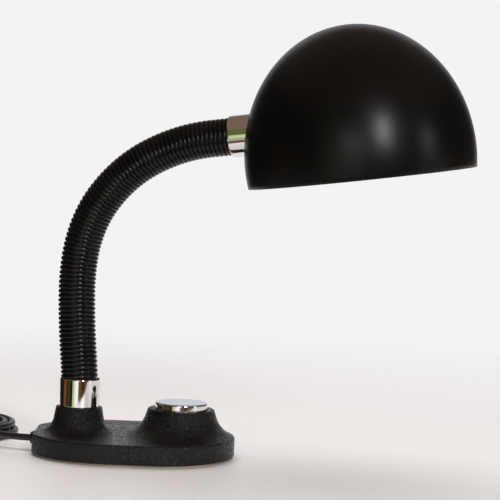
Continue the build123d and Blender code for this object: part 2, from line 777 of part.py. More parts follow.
# Tie round the coil's strands at its far side
tie_far = coil_point(coil_turns_in - 2).X - cord_radius - tie_clearance
tie_near = coil_point(coil_turns_in).X + cord_radius + tie_clearance
tie_low = coil_low_z - cord_radius - tie_clearance
tie_high = coil_high_z + cord_radius + tie_clearance
tie_middle = Vector((tie_far + tie_near) / 2, coil_centre_y, (tie_low + tie_high) / 2)
tie_plane = Plane(origin=tie_middle, x_dir=(1, 0, 0), z_dir=(0, -1, 0))
tie_inside = RectangleRounded(tie_near - tie_far, tie_high - tie_low, tie_round)
tie_outside = RectangleRounded(
    tie_near - tie_far + 2 * tie_thickness, tie_high - tie_low + 2 * tie_thickness, tie_round + tie_thickness
)
write("cord_tie", extrude(tie_plane * (tie_outside - tie_inside), tie_width / 2, both=True))

# Plug: a tapered neck, a flat moulded body and two pins, lying beside the coil
plug = Plane(origin=tail_end, x_dir=Vector(0, 0, 1).cross(end_way), z_dir=end_way)
plug_drop = plug_body_height / 2 + plug_foot_gap - coil_low_z
neck_end_round = Pos(0, plug_drop, plug_neck_length) * Circle(plug_body_height / 2)
neck_form = loft([Circle(plug_neck_radius), neck_end_round])
body_form = loft(
    [
        Pos(0, plug_drop, plug_neck_length) * RectangleRounded(plug_body_width, plug_body_height, plug_round),
        Pos(0, plug_drop, plug_neck_length + plug_body_length)
        * RectangleRounded(plug_nose_width, plug_body_height, plug_round),
    ]
)
nose = plug_neck_length + plug_body_length
pin_x = pin_spacing / 2
pins = [rod(pin_radius, nose - pin_root, nose + pin_length, s * pin_x, plug_drop) for s in (-1, 1)]
write("plug_body", plug * (neck_form + body_form - pins[0] - pins[1]))
write("plug_pins", Compound(children=[plug * pin for pin in pins]))

print("nodes", len(written))
print("neck side", [round(v, 5) for v in neck_side], "forward", [round(v, 5) for v in neck_forward])
for index in range(1, len(link_bends_deg)):
    point = link_starts[index]
    print("joint", index, [round(v, 4) for v in point], "lean", round(link_leans[index], 3))
print("collar mouth", [round(v, 4) for v in collar_mouth])
print("collar way", [round(v, 5) for v in collar_direction])
print("rim centre", [round(v, 4) for v in rim_centre], "shade up", [round(v, 5) for v in shade_up])
print("plug end", [round(v, 3) for v in plug.from_local_coords(Vector(0, plug_drop, nose + pin_length))])
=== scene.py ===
import bpy
import bmesh
from math import acos, asin, cos, pi, radians, sin, sqrt
from mathutils import Matrix, Vector


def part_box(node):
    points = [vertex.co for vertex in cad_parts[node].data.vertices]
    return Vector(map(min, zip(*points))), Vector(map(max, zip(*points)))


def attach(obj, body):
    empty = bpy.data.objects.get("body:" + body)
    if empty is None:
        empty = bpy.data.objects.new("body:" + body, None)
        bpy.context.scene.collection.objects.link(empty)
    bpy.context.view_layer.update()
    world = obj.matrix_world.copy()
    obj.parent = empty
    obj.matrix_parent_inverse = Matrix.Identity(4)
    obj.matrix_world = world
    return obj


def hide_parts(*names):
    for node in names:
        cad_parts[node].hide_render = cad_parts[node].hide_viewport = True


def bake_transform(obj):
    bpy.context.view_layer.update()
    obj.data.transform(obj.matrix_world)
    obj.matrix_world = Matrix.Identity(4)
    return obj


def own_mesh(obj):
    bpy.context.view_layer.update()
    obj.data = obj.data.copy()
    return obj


# Desk lamp with a ribbed bendable neck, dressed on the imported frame. Metres, +Z up, the floor at Z 0.
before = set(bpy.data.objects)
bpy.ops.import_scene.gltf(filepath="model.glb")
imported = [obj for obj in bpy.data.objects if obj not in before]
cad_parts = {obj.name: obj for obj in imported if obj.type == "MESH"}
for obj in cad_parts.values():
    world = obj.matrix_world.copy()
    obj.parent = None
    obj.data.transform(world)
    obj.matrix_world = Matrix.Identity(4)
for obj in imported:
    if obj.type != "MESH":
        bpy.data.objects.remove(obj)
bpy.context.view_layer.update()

# Camera at the photograph's place: turned, raised and slightly rolled
camera_turn, camera_rise, camera_roll = radians(-1.0), radians(2.95), radians(2.4)
camera_spot = Vector((0.0736, -1.689, 0.2847))
sensor_mm, focal_mm = 36.0, 129.1
nearest, farthest = 0.05, 50.0
camera_out = cos(camera_rise)
to_camera = Vector((sin(camera_turn) * camera_out, -cos(camera_turn) * camera_out, sin(camera_rise)))
level_right = Vector((cos(camera_turn), sin(camera_turn), 0.0))
level_up = to_camera.cross(level_right)
picture_right = level_right * cos(camera_roll) + level_up * sin(camera_roll)
picture_up = level_up * cos(camera_roll) - level_right * sin(camera_roll)
camera_data = bpy.data.cameras.new("camera")
camera_data.sensor_width = sensor_mm
camera_data.lens = focal_mm
camera_data.clip_start, camera_data.clip_end = nearest, farthest
camera = bpy.data.objects.new("camera", camera_data)
camera.matrix_world = Matrix((picture_right, picture_up, to_camera)).transposed().to_4x4()
camera.location = camera_spot
bpy.context.collection.objects.link(camera)
bpy.context.scene.camera = camera


# Materials


def finish_of(name, colour, rough, metal=0.0, **sockets):
    """A new material with one shader; even values sit on its own sockets."""
    material = bpy.data.materials.new(name)
    material.use_nodes = True
    shader = material.node_tree.nodes["Principled BSDF"]
    shader.inputs["Base Color"].default_value = (*colour, 1.0)
    shader.inputs["Roughness"].default_value = rough
    shader.inputs["Metallic"].default_value = metal
    for socket, value in sockets.items():
        shader.inputs[socket.replace("_", " ")].default_value = value
    return material, material.node_tree, shader


def add(tree, kind, **values):
    """A node with its settings and socket values."""
    node = tree.nodes.new(kind)
    for key, value in values.items():
        if hasattr(node, key):
            setattr(node, key, value)
        else:
            node.inputs[key.replace("_", " ")].default_value = value
    return node


def grain(tree, scale, detail=4.0, coarse=0.55):
    """A noise on the piece's own coordinates."""
    place = add(tree, "ShaderNodeTexCoord")
    noise = add(tree, "ShaderNodeTexNoise", Scale=scale, Detail=detail, Roughness=coarse)
    tree.links.new(place.outputs["Object"], noise.inputs["Vector"])
    return noise.outputs["Fac"]


def cells(tree, scale):
    """Small cells on the piece's own coordinates, as the distance from their centres."""
    place = add(tree, "ShaderNodeTexCoord")
    pattern = add(tree, "ShaderNodeTexVoronoi", Scale=scale)
    tree.links.new(place.outputs["Object"], pattern.inputs["Vector"])
    return pattern.outputs["Distance"]


def vary(tree, shader, socket, pattern, low, high, stops=(0.0, 1.0)):
    """Carries a shader's socket along a pattern, between two colours or two greys."""
    ramp = add(tree, "ShaderNodeValToRGB")
    tints = [c if isinstance(c, tuple) else (c, c, c) for c in (low, high)]
    for element, place, tint in zip(ramp.color_ramp.elements, stops, tints):
        element.position = place
        element.color = (*tint, 1.0)
    tree.links.new(pattern, ramp.inputs["Fac"])
    tree.links.new(ramp.outputs["Color"], shader.inputs[socket])


def bump(tree, shader, pattern, depth, strength, under=None):
    """A bump of a depth in metres, over an earlier one."""
    node = add(tree, "ShaderNodeBump", Strength=strength, Distance=depth)
    tree.links.new(pattern, node.inputs["Height"])
    if under is not None:
        tree.links.new(under, node.inputs["Normal"])
    tree.links.new(node.outputs["Normal"], shader.inputs["Normal"])
    return node.outputs["Normal"]


def wrinkle_paint():
    """Black crackle paint on the cast foot: fine puckers with pale glints."""
    dark, middle, light = (0.0025, 0.0025, 0.0028), (0.004, 0.004, 0.0044), (0.0055, 0.0055, 0.006)
    material, tree, shader = finish_of("wrinkle_paint", middle, 0.3, Specular_IOR_Level=0.33)
    puckers = grain(tree, 520.0, detail=4.0, coarse=0.6)
    patches = grain(tree, 34.0, detail=3.0)
    crackle = bump(tree, shader, cells(tree, 800.0), depth=0.0006, strength=0.8)
    bump(tree, shader, puckers, depth=0.0015, strength=0.8, under=crackle)
    vary(tree, shader, "Roughness", puckers, 0.44, 0.07, stops=(0.5, 0.59))
    vary(tree, shader, "Base Color", patches, dark, light, stops=(0.3, 0.7))
    return material


def sprayed_enamel(name, dark, light, rough, gloss):
    """Satin stove enamel with a faint spray texture."""
    material, tree, shader = finish_of(name, light, rough, Specular_IOR_Level=gloss)
    mist = grain(tree, 900.0, detail=2.0)
    clouds = grain(tree, 18.0, detail=3.0)
    bump(tree, shader, mist, depth=0.00006, strength=0.25)
    vary(tree, shader, "Base Color", clouds, dark, light, stops=(0.3, 0.7))
    vary(tree, shader, "Roughness", mist, rough - 0.03, rough + 0.03)
    return material


def polished_metal(name, colour, rough, wipe):
    """Plated metal with faint wipe marks in its gloss."""
    material, tree, shader = finish_of(name, colour, rough, metal=1.0)
    smear = grain(tree, 60.0, detail=6.0, coarse=0.7)
    hairlines = grain(tree, 700.0, detail=2.0)
    vary(tree, shader, "Roughness", smear, rough, rough + wipe, stops=(0.4, 0.75))
    bump(tree, shader, hairlines, depth=0.00002, strength=0.1)
    return material


def moulded(name, dark, light, rough, scale, depth, gloss=0.5):
    """Soft or hard plastic with a fine moulded skin."""
    material, tree, shader = finish_of(name, light, rough, Specular_IOR_Level=gloss)
    skin = grain(tree, scale, detail=4.0)
    dust = grain(tree, 45.0, detail=5.0)
    bump(tree, shader, skin, depth, strength=0.3)
    vary(tree, shader, "Base Color", dust, dark, light, stops=(0.35, 0.7))
    vary(tree, shader, "Roughness", dust, rough - 0.05, rough + 0.09, stops=(0.3, 0.75))
    return material


def pressed_felt():
    """Beige wool felt: short mixed fibres."""
    dark, middle, light = (0.34, 0.29, 0.21), (0.5, 0.43, 0.32), (0.66, 0.58, 0.45)
    material, tree, shader = finish_of("pressed_felt", middle, 0.95)
    fibres = grain(tree, 1500.0, detail=8.0, coarse=0.75)
    bump(tree, shader, fibres, depth=0.0006, strength=0.8)
    vary(tree, shader, "Base Color", fibres, dark, light, stops=(0.3, 0.7))
    return material


def frosted_glass():
    """The bulb's etched glass, milky and a little uneven."""
    milky = (0.9, 0.9, 0.87)
    material, tree, shader = finish_of("frosted_glass", milky, 0.35, Transmission_Weight=0.35, IOR=1.5)
    etch = grain(tree, 800.0, detail=3.0)
    bump(tree, shader, etch, depth=0.00005, strength=0.3)
    vary(tree, shader, "Roughness", etch, 0.28, 0.42)
    return material


casting_black = wrinkle_paint()
felt = pressed_felt()
glass = frosted_glass()
# Enamels: name, dark and light colour, roughness, gloss
shade_black = sprayed_enamel("shade_black", (0.003, 0.0028, 0.0026), (0.0045, 0.0041, 0.0038), 0.31, 0.2)
shade_white = sprayed_enamel("shade_white", (0.72, 0.71, 0.67), (0.79, 0.78, 0.74), 0.45, 0.5)
# Metals: name, colour, roughness, how much the wipe marks add to it
collar_chrome = polished_metal("collar_chrome", (0.86, 0.85, 0.83), 0.035, 0.05)
button_chrome = polished_metal("button_chrome", (0.84, 0.84, 0.84), 0.06, 0.06)
zinc = polished_metal("zinc", (0.58, 0.58, 0.55), 0.32, 0.2)
brass = polished_metal("brass", (0.78, 0.58, 0.28), 0.22, 0.15)
bulb_metal = polished_metal("bulb_metal", (0.78, 0.78, 0.77), 0.25, 0.15)
pin_metal = polished_metal("pin_metal", (0.78, 0.74, 0.62), 0.2, 0.15)
# Plastics: name, dark and light colour, roughness, scale and depth of the skin, gloss
sleeve_dark, sleeve_light = (0.003, 0.003, 0.0034), (0.007, 0.007, 0.0075)
sleeve_black = moulded("sleeve_black", sleeve_dark, sleeve_light, 0.22, 900.0, 0.00005, 0.3)
cord_black = moulded("cord_black", (0.009, 0.009, 0.01), (0.016, 0.016, 0.017), 0.33, 1200.0, 0.00006)
plug_black = moulded("plug_black", (0.01, 0.01, 0.011), (0.018, 0.018, 0.019), 0.45, 900.0, 0.0001)
grommet_black = moulded("grommet_black", (0.008, 0.008, 0.008), (0.014, 0.014, 0.014), 0.4, 900.0, 0.00008)
holder_black = moulded("holder_black", (0.012, 0.011, 0.01), (0.022, 0.02, 0.018), 0.28, 500.0, 0.00005)
inner_plastic = moulded("inner_plastic", (0.035, 0.035, 0.035), (0.06, 0.06, 0.06), 0.5, 700.0, 0.0001)
lead_brown = moulded("lead_brown", (0.16, 0.07, 0.03), (0.26, 0.12, 0.06), 0.4, 700.0, 0.00005)
tie_black = moulded("tie_black", (0.012, 0.012, 0.012), (0.02, 0.02, 0.02), 0.42, 800.0, 0.00008)


# Making pieces
weld_gap = 1e-6


def piece(name, bm, materials, body, nodes=(), sharp=40.0, weld=True):
    """Ends a bmesh as a named piece on a body, in place of its CAD nodes."""
    if weld:
        bmesh.ops.remove_doubles(bm, verts=bm.verts, dist=weld_gap)
        bmesh.ops.recalc_face_normals(bm, faces=bm.faces)
    mesh = bpy.data.meshes.new(name)
    bm.to_mesh(mesh)
    bm.free()
    for polygon in mesh.polygons:
        polygon.use_smooth = True
    mesh.set_sharp_from_angle(angle=radians(sharp))
    for material in materials:
        mesh.materials.append(material)
    made = bpy.data.objects.new(name, mesh)
    bpy.context.collection.objects.link(made)
    if body:
        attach(made, body)
    if nodes:
        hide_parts(*nodes)
    return made


def turned(profile, steps, place=Matrix()):
    """A lathe form: a profile of (radius, height) pairs spun once about Z, then put in its place."""
    bm = bmesh.new()
    spots = [bm.verts.new((radius, 0.0, height)) for radius, height in profile]
    line = [bm.edges.new(pair) for pair in zip(spots, spots[1:])]
    bmesh.ops.spin(
        bm, geom=spots + line, cent=(0, 0, 0), axis=(0, 0, 1), angle=2 * pi, steps=steps, use_merge=True
    )
    bmesh.ops.remove_doubles(bm, verts=bm.verts, dist=weld_gap)
    bmesh.ops.recalc_face_normals(bm, faces=bm.faces)
    bmesh.ops.transform(bm, matrix=place, verts=bm.verts)
    return bm


def rounded(bm, edges, width, steps):
    """Bevels edges to a round of some steps."""
    bmesh.ops.bevel(
        bm,
        geom=edges,
        offset=width,
        offset_type="OFFSET",
        segments=steps,
        profile=0.5,
        affect="EDGES",
        material=-1,
    )


def edges_over(bm, turn_deg):
    """Edges between two faces that turn by more than an angle."""
    return [e for e in bm.edges if len(e.link_faces) == 2 and e.calc_face_angle() > radians(turn_deg)]


def points_of(geom):
    """The vertices in an operator's result."""
    return [g for g in geom if isinstance(g, bmesh.types.BMVert)]


def lines_of(geom):
    """The edges in an operator's result."""
    return [g for g in geom if isinstance(g, bmesh.types.BMEdge)]


def grow_ring(bm, ring, before, after):
    """Extrudes a ring of edges and carries the new ring from one placing to another."""
    grown = bmesh.ops.extrude_edge_only(bm, edges=ring)["geom"]
    spots = points_of(grown)
    bmesh.ops.transform(bm, matrix=after @ before.inverted(), verts=spots)
    return [e for e in lines_of(grown) if all(v in spots for v in e.verts)]


def grow_tube(bm, placings):
    """Carries the unit ring in a bmesh through a row of placings, and gives the last ring."""
    bmesh.ops.transform(bm, matrix=placings[0], verts=bm.verts)
    ring = bm.edges[:]
    for before, after in zip(placings, placings[1:]):
        ring = grow_ring(bm, ring, before, after)
    return ring


def frame_at(origin, x_way, z_way):
    """A placing matrix with its Z along one direction and its X along another."""
    y_way = z_way.cross(x_way)
    return Matrix.Translation(origin) @ Matrix((x_way, y_way, z_way)).transposed().to_4x4()


# Mains cord: from the grommet into a two-layer coil, then to the plug
cord_width = 0.0064
cord_exit_x, cord_height = -0.0973, 0.0115
lead_start_x, lead_turn_x, lead_join_x, lead_end_x = -0.085, -0.110, -0.136, -0.1682
coil_centre = Vector((-0.181, 0.082))
coil_radius, coil_pitch = 0.062, 0.0071
turns_in, turns_back, turns_out = 2.25, 0.5, 2.1944
coil_low = 0.0045
coil_high = coil_low + coil_pitch
coil_inner = coil_radius - coil_pitch * turns_in
coil_turns = turns_in + turns_back + turns_out
coil_front_y = coil_centre.y - coil_radius
points_a_turn = 32
tail = 0.045


def coil_point(turns):
    """A point of the coil: in on the upper layer, down in a half turn, out on the lower layer."""
    returning = turns - turns_in
    leaving = returning - turns_back
    if returning <= 0:
        radius, height = coil_radius - coil_pitch * turns, coil_high
    elif leaving < 0:
        share = returning / turns_back
        radius = coil_inner - coil_pitch * returning * (1 - share)
        height = coil_high - coil_pitch * share**2 * (3 - 2 * share)
    else:
        radius, height = coil_inner + coil_pitch * leaving, coil_low
    angle = -pi / 2 - 2 * pi * turns
    return (coil_centre.x + radius * cos(angle), coil_centre.y + radius * sin(angle), height)


route = [
    (lead_start_x, 0.0, cord_height),
    (lead_turn_x, 0.0, cord_height),
    (lead_join_x, coil_front_y, coil_high),
    (lead_end_x, coil_front_y, coil_high),
]
coil_steps = int(coil_turns * points_a_turn)
route += [coil_point(coil_turns * step / coil_steps) for step in range(coil_steps + 1)]
end_angle = -pi / 2 - 2 * pi * coil_turns
tail_start, tail_way = Vector(route[-1]), Vector((sin(end_angle), -cos(end_angle), 0.0))
tail_end = tail_start + tail_way * tail
route += [tuple(tail_start + tail_way * tail / 2), tuple(tail_end)]
cord_curve = bpy.data.curves.new("mains_cord", "CURVE")
cord_curve.dimensions = "3D"
cord_curve.bevel_depth = cord_width / 2
cord_curve.bevel_resolution = 5
cord_curve.resolution_u = 6
cord_curve.use_fill_caps = True
spline = cord_curve.splines.new("NURBS")
spline.points.add(len(route) - 1)
for spot, place in zip(spline.points, route):
    spot.co = (*place, 1.0)
spline.order_u = 3
spline.use_endpoint_u = True
cord_curve.materials.append(cord_black)
mains_cord = bpy.data.objects.new("mains_cord", cord_curve)
bpy.context.collection.objects.link(mains_cord)
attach(mains_cord, "base")
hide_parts("cord_lead", "cord_coil")

# Foot pad: the foot's oval with its flat end, a felt sheet with soft edges
oval_round, oval_left, oval_right, oval_flat = 0.078, -0.021, 0.018, -0.093
pad_inset, pad_thickness, pad_edge = 0.0025, 0.002, 0.0006


def oval_sheet(inset, thickness):
    """The foot's outline as a closed slab on the floor: two half circles, cut flat at the cord's end."""
    bm = bmesh.new()
    radius = oval_round - inset
    for side, centre in ((1, oval_right), (-1, oval_left)):
        start = bm.verts.new((centre, -side * radius, 0))
        bmesh.ops.spin(bm, geom=[start], cent=(centre, 0, 0), axis=(0, 0, 1), angle=pi, steps=64)
    ends = [v for v in bm.verts if len(v.link_edges) == 1]
    for y_side in (1, -1):
        bm.edges.new([v for v in ends if v.co.y * y_side > 0])
    face = bmesh.ops.contextual_create(bm, geom=bm.edges[:])["faces"][0]
    raised = bmesh.ops.extrude_face_region(bm, geom=[face])["geom"]
    bmesh.ops.translate(bm, vec=(0, 0, thickness), verts=points_of(raised))
    cut = bmesh.ops.bisect_plane(
        bm,
        geom=bm.verts[:] + bm.edges[:] + bm.faces[:],
        plane_co=(oval_flat + inset, 0, 0),
        plane_no=(-1, 0, 0),
        clear_outer=True,
    )["geom_cut"]
    bmesh.ops.holes_fill(bm, edges=lines_of(cut), sides=0)
    return bm


pad = oval_sheet(pad_inset, pad_thickness)
rounded(pad, edges_over(pad, 50.0), pad_edge, 2)
piece("felt_foot", pad, [felt], "base", ["foot_pad"])

# Lower collar: a chrome cup; rings close to its rounded edges keep its wall straight in reflections
neck_x = -0.05225
nipple_hole = 0.0052
lower_outer, lower_foot, lower_floor, lower_top = 0.0189, 0.0435, 0.0455, 0.07
lower_bore = 0.01825
lower_mouth = ((0.0005, 0.0001), (0.0003, 0.0), (0.0001, 0.0002), (0.0, 0.0006), (0.0, 0.0009))
lower_edge = ((0.0, 0.001), (0.0, 0.0007), (0.0002, 0.0002), (0.0006, 0.0))
mouth_start = 0.0004
lower_profile = [(nipple_hole, lower_floor), (lower_bore, lower_floor), (lower_bore, lower_top - mouth_start)]
lower_profile += [(lower_outer - inward, lower_top - drop) for inward, drop in lower_mouth]
lower_profile += [(lower_outer - inward, lower_foot + rise) for inward, rise in lower_edge]
lower_profile += [(nipple_hole, lower_foot), (nipple_hole, lower_floor)]
lower_collar = turned(lower_profile, 96, Matrix.Translation((neck_x, 0, 0)))
piece("lower_chrome_collar", lower_collar, [collar_chrome], "base", ["lower_collar"], 50.0)

# Push button: a chrome cap with a shallow dish and a slightly drafted side
button_x = 0.0443
button_radius, button_top, button_round = 0.025, 0.051, 0.0016
button_dish = [(0.0, 0.0505), (0.007, 0.05053), (0.014, 0.05072), (0.021, button_top)]
round_centre, round_steps = (0.02325, button_top - button_round), 6
skirt_bore, skirt_foot, crown_under = 0.0238, 0.038, 0.0493
button_profile = button_dish[:]
for step in range(round_steps + 1):
    angle = pi / 2 * step / round_steps
    out, up = button_round * sin(angle), button_round * cos(angle)
    button_profile.append((round_centre[0] + out, round_centre[1] + up))
button_profile += [(0.02486, 0.0491), (button_radius, 0.0455), (button_radius, skirt_foot)]
button_profile += [(skirt_bore, skirt_foot), (skirt_bore, crown_under), (0.0, crown_under)]
button = turned(button_profile, 96, Matrix.Translation((button_x, 0, 0)))
piece("chrome_push_button", button, [button_chrome], "button", ["button_cap"], 50.0)

# Return spring under the button: a wire ring spun up a helix
spring_low, spring_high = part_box("button_spring")
spring_foot, spring_top = spring_low[2], spring_high[2]
spring_wire, spring_radius, spring_turns, steps_a_turn = 0.0006, 0.0105, 5, 32
spring_steps = spring_turns * steps_a_turn
spring_bm = bmesh.new()
spring_start = frame_at(
    Vector((button_x + spring_radius, 0, spring_foot + spring_wire)), Vector((1, 0, 0)), Vector((0, 1, 0))
)
bmesh.ops.create_circle(spring_bm, cap_ends=True, radius=spring_wire, segments=12, matrix=spring_start)
bmesh.ops.spin(
    spring_bm,
    geom=spring_bm.verts[:] + spring_bm.edges[:] + spring_bm.faces[:],
    cent=(button_x, 0, 0),
    axis=(0, 0, 1),
    dvec=(0, 0, (spring_top - spring_foot - 2 * spring_wire) / spring_steps),
    angle=2 * pi * spring_turns,
    steps=spring_steps,
)
return_spring = piece("return_spring", spring_bm, [zinc], "base", ["button_spring"], 60.0)
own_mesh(return_spring)

# Grommet: a short bush with a flange against the foot's flat end, as (radius, run) pairs
bush_profile = [
    (0.0034, 0.0005), (0.004, 0.0), (0.0046, 0.0), (0.0051, 0.0002), (0.0055, 0.0008),
    (0.0073, 0.0043), (0.005, 0.0043), (0.005, 0.0093), (0.0034, 0.0093), (0.0034, 0.0005),
]
bush_place = frame_at(Vector((cord_exit_x, 0, cord_height)), Vector((0, 0, 1)), Vector((1, 0, 0)))
bush = turned(bush_profile, 48, bush_place)
piece("cord_bush", bush, [grommet_black], "base", ["cord_grommet"], 35.0)

# Neck line: links of even bend, in one upright plane turned to the front
neck_turn = radians(15.0)
forward = Vector((cos(neck_turn), -sin(neck_turn), 0.0))
upright = Vector((0.0, 0.0, 1.0))
sideways = upright.cross(forward)
link_bends = (-6.0, 2.0, 2.8, 7.7, 13.0, 15.4, 12.6, 13.4, 10.3, 10.8, 0.0)
last_link = len(link_bends) - 1
link_lengths = (0.04423,) + (0.030915,) * last_link
link_starts, link_leans, link_runs = [Vector((neck_x, 0, lower_floor))], [0.0], [0.0]
nothing = 1e-9


def leaning(lean):
    """The neck's direction after leaning over by an angle in degrees."""
    return upright * cos(radians(lean)) + forward * sin(radians(lean))


def on_link(link, run):
    """Point and direction at a run along one link."""
    bend = link_bends[link] * run / link_lengths[link]
    chord = run if abs(bend) < nothing else 2 * run / radians(bend) * sin(radians(bend) / 2)
    return link_starts[link] + leaning(link_leans[link] + bend / 2) * chord, leaning(link_leans[link] + bend)


for link in range(last_link):
    link_starts.append(on_link(link, link_lengths[link])[0])
    link_leans.append(link_leans[link] + link_bends[link])
    link_runs.append(link_runs[link] + link_lengths[link])
neck_length = link_runs[last_link] + link_lengths[last_link]


def on_neck(run):
    """Point and direction at a run along the whole neck."""
    link = max(i for i, start in enumerate(link_runs) if start <= run + nothing)
    return on_link(link, run - link_runs[link])


# Ribbed sleeve, unbroken: each piece spans one joint and meets the next in a valley at mid link
crest, valley = 0.0174, 0.0157
rib_spacing = 0.00422
rib_count = round(neck_length / rib_spacing)
rib_pitch = neck_length / rib_count
# A rib's rounding: share of the pitch, share of the height
rib_rounds = (
    (0.03, 0.42), (0.09, 0.77), (0.2, 0.96), (0.42, 1.0),
    (0.64, 0.96), (0.75, 0.77), (0.81, 0.42), (0.84, 0.0),
)
sleeve_seams = [round((link_runs[i] + link_lengths[i] / 2) / rib_pitch) for i in range(1, last_link)]
sleeve_seams = [0] + sleeve_seams + [rib_count]


def neck_matrix(run, radius):
    """The placing of a unit ring on the neck."""
    point, way = on_neck(run)
    return frame_at(point, sideways, way) @ Matrix.Diagonal((radius, radius, 1.0, 1.0))


def ribbed_stretch(first, last):
    """The sleeve's skin from one rib to another."""
    placings = [neck_matrix(first * rib_pitch, valley)]
    for rib in range(first, last):
        for share, height in rib_rounds:
            placings.append(neck_matrix((rib + share) * rib_pitch, valley + (crest - valley) * height))
        placings.append(neck_matrix((rib + 1) * rib_pitch, valley))
    bm = bmesh.new()
    bmesh.ops.create_circle(bm, cap_ends=False, radius=1.0, segments=72)
    grow_tube(bm, placings)
    return bm


for joint in range(1, last_link + 1):
    stretch = ribbed_stretch(sleeve_seams[joint - 1], sleeve_seams[joint])
    name = "neck_sleeve_skin_%02d" % joint
    sleeve = piece(name, stretch, [sleeve_black], None, sharp=75.0)
    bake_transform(sleeve)
    covered = ["neck_sleeve_%02d" % (joint - 1)] + (["neck_sleeve_10"] if joint == last_link else [])
    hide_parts(*covered)

# Head frame: Z along the upper collar, X towards the shade's top
collar_depth = 0.012
neck_end, collar_way = on_neck(neck_length)
collar_mouth = neck_end - collar_way * collar_depth
shade_twist = radians(2.2)
shade_up = collar_way.cross(sideways) * cos(shade_twist) - sideways * sin(shade_twist)
head = frame_at(collar_mouth, shade_up, collar_way)
shade_radius, shade_half_height, shade_lift, shade_wall = 0.105, 0.121, 0.018, 0.0009
rim_drop, skin_reach = 0.0496, 0.01604
shade_reach = skin_reach + shade_radius * sqrt(1 - ((rim_drop - shade_lift) / shade_half_height) ** 2)
rim_centre = head @ Vector((-rim_drop, 0.0, shade_reach))
shade_place = frame_at(rim_centre, collar_way, shade_up)

# Shade: a thin half ellipsoid with a turned-in rim, black outside and white inside
dome_steps = 56
hem_rounds = ((0.0002, -0.0001), (0.0008, -0.0002), (0.0016, 0.0002), (0.0021, 0.0012), (0.0014, 0.0021))


def dome_line(shrink):
    """The shade's curve from rim to top as (radius, height) pairs."""
    radius, half_height = shade_radius - shrink, shade_half_height - shrink
    low = -asin(shade_lift / half_height)
    curve = []
    for step in range(dome_steps + 1):
        angle = low + (pi / 2 - low) * step / dome_steps
        curve.append((max(radius * cos(angle), 0.0), shade_lift + half_height * sin(angle)))
    return curve


outside, inside = dome_line(0.0), dome_line(shade_wall)
rim_radius = outside[0][0]
hem = [(rim_radius - inward, height) for inward, height in hem_rounds]
shade_bm = turned(outside[::-1] + hem + inside[2:], 144)
mid_radius, mid_half_height = shade_radius - shade_wall / 2, shade_half_height - shade_wall / 2
for face in shade_bm.faces:
    spot = face.calc_center_median()
    out_share, up_share = spot.xy.length / mid_radius, (spot.z - shade_lift) / mid_half_height
    face.material_index = int(out_share**2 + up_share**2 < 1)
bmesh.ops.transform(shade_bm, matrix=shade_place, verts=shade_bm.verts)
piece("domed_shade", shade_bm, [shade_black, shade_white], "head", ["shade"], 60.0, weld=False)

# Upper collar: a chrome tube whose far edge follows the shade, as (radius, run) pairs
upper_outer, upper_bore = 0.0192, 0.01825
upper_rings = [
    (upper_bore, 0.0115), (upper_bore, 0.0006), (0.0184, 0.0002), (0.0187, 0.0), (0.0189, 0.0002),
    (0.0191, 0.0007), (upper_outer, 0.0013), (upper_outer, 0.0017), (upper_outer, collar_depth),
]
into_shade = 0.0004
upper_bm = bmesh.new()
bmesh.ops.create_circle(upper_bm, cap_ends=False, radius=1.0, segments=96)
upper_placings = [
    Matrix.Translation((0, 0, run)) @ Matrix.Diagonal((radius, radius, 1, 1)) for radius, run in upper_rings
]
far_ring = grow_ring(upper_bm, grow_tube(upper_bm, upper_placings), Matrix(), Matrix())
for spot in {v for e in far_ring for v in e.verts}:
    height_share = (spot.co.x + rim_drop - shade_lift) / shade_half_height
    skin_depth = sqrt(shade_radius**2 * (1 - height_share**2) - spot.co.y**2)
    spot.co.z = shade_reach - skin_depth + into_shade
bmesh.ops.transform(upper_bm, matrix=head, verts=upper_bm.verts)
piece("upper_chrome_collar", upper_bm, [collar_chrome], "head", ["upper_collar"], 50.0)

# Bulb: a cone that runs tangentially into a sphere, etched all over
bulb_start, bulb_length, bulb_round, bulb_neck = 0.077, 0.082, 0.030, 0.013
seat_depth, seat_inset, shoulder_inset = 0.002, 0.0015, 0.0004
bulb_seat = bulb_start - seat_depth
bulb_steps = 28
bulb_centre = bulb_start + bulb_length - bulb_round
bulb_reach = sqrt((bulb_centre - bulb_start) ** 2 + bulb_neck**2)
touch = pi / 2 - acos(bulb_round / bulb_reach) + acos((bulb_centre - bulb_start) / bulb_reach)
bulb_line = [(0.0, bulb_seat), (bulb_neck - seat_inset, bulb_seat), (bulb_neck - shoulder_inset, bulb_start)]
for step in range(bulb_steps + 1):
    angle = touch + (pi - touch) * step / bulb_steps
    bulb_line.append((max(bulb_round * sin(angle), 0.0), bulb_centre - bulb_round * cos(angle)))
piece("etched_bulb", turned(bulb_line, 64, head), [glass], "head", ["bulb_glass"], 50.0)

# Plug: a ribbed strain relief that rises to the middle of a flat moulded body with finger grips
plug_place = frame_at(tail_end, upright.cross(tail_way), tail_way)
plug_rise, rise_run = 0.00245, 0.012
groove_count, groove_start, groove_pitch = 4, 0.0006, 0.0026
relief_size, relief_growth = 0.0042, 0.00065
groove_line = ((0.0, 0.0), (0.0016, 0.0002), (0.0018, -0.0006), (0.0024, -0.0005))
plug_width, plug_nose_width, plug_height, plug_length, plug_middle = 0.026, 0.035, 0.0135, 0.026, 0.025
grip_inset, grip_depth, plug_edge = 0.0045, 0.0007, 0.0022
relief = [(0.0, 0.0036)]
for groove in range(groove_count):
    run, size = groove_start + groove_pitch * groove, relief_size + relief_growth * groove
    relief += [(run + further, size + more) for further, more in groove_line]
relief += [(0.0115, 0.0066), (0.0135, 0.00672)]
relief_placings = [
    Matrix.Translation((0, plug_rise * min(run / rise_run, 1.0), run)) @ Matrix.Diagonal((size, size, 1, 1))
    for run, size in relief
]
plug_bm = bmesh.new()
